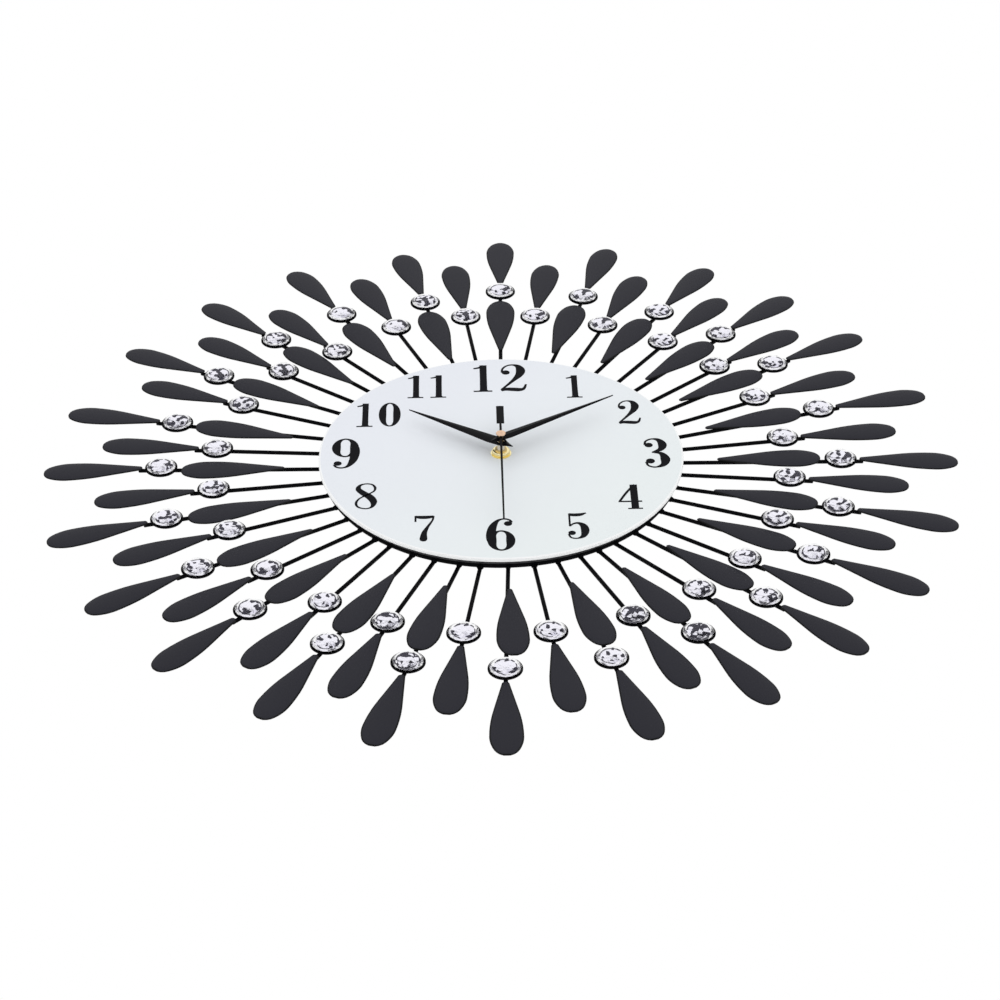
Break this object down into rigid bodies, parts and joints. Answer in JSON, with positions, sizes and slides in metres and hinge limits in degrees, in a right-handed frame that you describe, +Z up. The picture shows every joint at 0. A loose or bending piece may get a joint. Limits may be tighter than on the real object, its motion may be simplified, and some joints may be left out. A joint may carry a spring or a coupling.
{
  "type": "wall clock",
  "caption": "Sunburst wall clock: round glass dial with wire rays carrying teardrops and crystals, three hands and a quartz movement that hangs on a wall screw.",
  "frame": {"origin": "centre of the hanger strap's hole, on the wall plane", "axes": "+Z up towards 12 o'clock, +Y into the wall, so the dial faces -Y, +X to the viewer's right"},
  "size_m": [0.6234, 0.047, 0.6234],
  "materials": {
    "dial_glass": "white back-painted glass",
    "foam_tape": "matte",
    "powder_coat": "matte black",
    "powder_coat_gloss": "satin black",
    "drop_coat": "matte charcoal",
    "cup_plate": "bright",
    "crystal": "clear faceted",
    "zinc_steel": "zinc plated",
    "rubber_black": "matte",
    "rivet_aluminium": "plain",
    "train_plastic": "moulded",
    "ferrite": "sintered",
    "train_brass": "turned",
    "setting_plastic": "moulded",
    "arbor_steel": "ground",
    "case_plastic": "textured black",
    "nut_brass": "lacquered",
    "lamination": "stamped",
    "bobbin_plastic": "moulded",
    "coil_copper": "enamelled copper",
    "board": "phenolic board",
    "chip_resin": "resin",
    "can_metal": "plated",
    "battery_jacket": "plain wrapped cell",
    "contact_nickel": "nickel plated spring steel",
    "hand_black": "satin black",
    "cap_brass": "polished rose brass"
  },
  "bodies": {
    "clock_body": {"dial_glass": "dial_glass", "dial_foam_ring": "foam_tape", "back_plate": "powder_coat", "rim_ring": "powder_coat_gloss", "long_ray_wires": "powder_coat_gloss", "short_ray_wires": "powder_coat_gloss", "inner_drops": "drop_coat", "long_outer_drops": "drop_coat", "short_outer_drops": "drop_coat", "long_ray_cups": "cup_plate", "long_ray_crystals": "crystal", "short_ray_cups": "cup_plate", "short_ray_crystals": "crystal", "wall_posts": "zinc_steel", "wall_bumpers": "rubber_black", "post_screws": "zinc_steel", "hanger_strap": "powder_coat", "hanger_rivets": "rivet_aluminium", "movement_case": "case_plastic", "movement_cover": "case_plastic", "rubber_washer": "rubber_black", "brass_washer": "nut_brass", "bush_nut": "nut_brass", "stator": "lamination", "coil_core": "lamination", "coil_bobbin": "bobbin_plastic", "coil_winding": "coil_copper", "circuit_board": "board", "clock_chip": "chip_resin", "quartz_can": "can_metal", "battery": "battery_jacket", "battery_contacts": "contact_nickel"},
    "second_arbor_group": {"second_arbor": "arbor_steel", "second_wheel": "train_plastic", "second_hand": "hand_black", "second_hand_cap": "cap_brass"},
    "minute_pipe_group": {"minute_pipe": "train_brass", "centre_wheel": "train_plastic", "minute_hand": "hand_black"},
    "hour_wheel_group": {"hour_wheel": "train_plastic", "hour_hand": "hand_black"},
    "third_wheel_group": {"third_wheel": "train_plastic"},
    "intermediate_group": {"intermediate_wheel": "train_plastic"},
    "rotor_group": {"rotor_pinion": "train_plastic", "rotor_magnet": "ferrite"},
    "setting_group": {"setting_wheel": "setting_plastic", "setting_knob": "setting_plastic"}
  },
  "joints": [
    {"name": "second_hand_turn", "type": "hinge", "parent": "clock_body", "child": "second_arbor_group", "pos_m": [0, -0.0446, -0.068], "axis": [0, 1, 0], "continuous": true},
    {"name": "minute_hand_turn", "type": "hinge", "parent": "clock_body", "child": "minute_pipe_group", "pos_m": [0, -0.0418, -0.068], "axis": [0, 1, 0], "continuous": true},
    {"name": "hour_hand_turn", "type": "hinge", "parent": "clock_body", "child": "hour_wheel_group", "pos_m": [0, -0.039, -0.068], "axis": [0, 1, 0], "continuous": true},
    {"name": "third_wheel_turn", "type": "hinge", "parent": "clock_body", "child": "third_wheel_group", "pos_m": [0.00883, -0.0128, -0.0629], "axis": [0, 1, 0], "continuous": true},
    {"name": "intermediate_wheel_turn", "type": "hinge", "parent": "clock_body", "child": "intermediate_group", "pos_m": [-0.00414, -0.0142, -0.05912], "axis": [0, 1, 0], "continuous": true},
    {"name": "rotor_turn", "type": "hinge", "parent": "clock_body", "child": "rotor_group", "pos_m": [-0.00539, -0.0118, -0.05203], "axis": [0, 1, 0], "continuous": true},
    {"name": "setting_wheel_turn", "type": "hinge", "parent": "clock_body", "child": "setting_group", "pos_m": [-0.0105, -0.0181, -0.068], "axis": [0, 1, 0], "continuous": true}
  ],
  "couplings": [
    {"joint": "minute_hand_turn", "follows": "second_hand_turn", "ratio": 0.016667},
    {"joint": "hour_hand_turn", "follows": "second_hand_turn", "ratio": 0.0013889},
    {"joint": "third_wheel_turn", "follows": "second_hand_turn", "ratio": -0.13333},
    {"joint": "intermediate_wheel_turn", "follows": "second_hand_turn", "ratio": -6},
    {"joint": "rotor_turn", "follows": "second_hand_turn", "ratio": 30},
    {"joint": "setting_wheel_turn", "follows": "second_hand_turn", "ratio": -0.0055556}
  ]
}
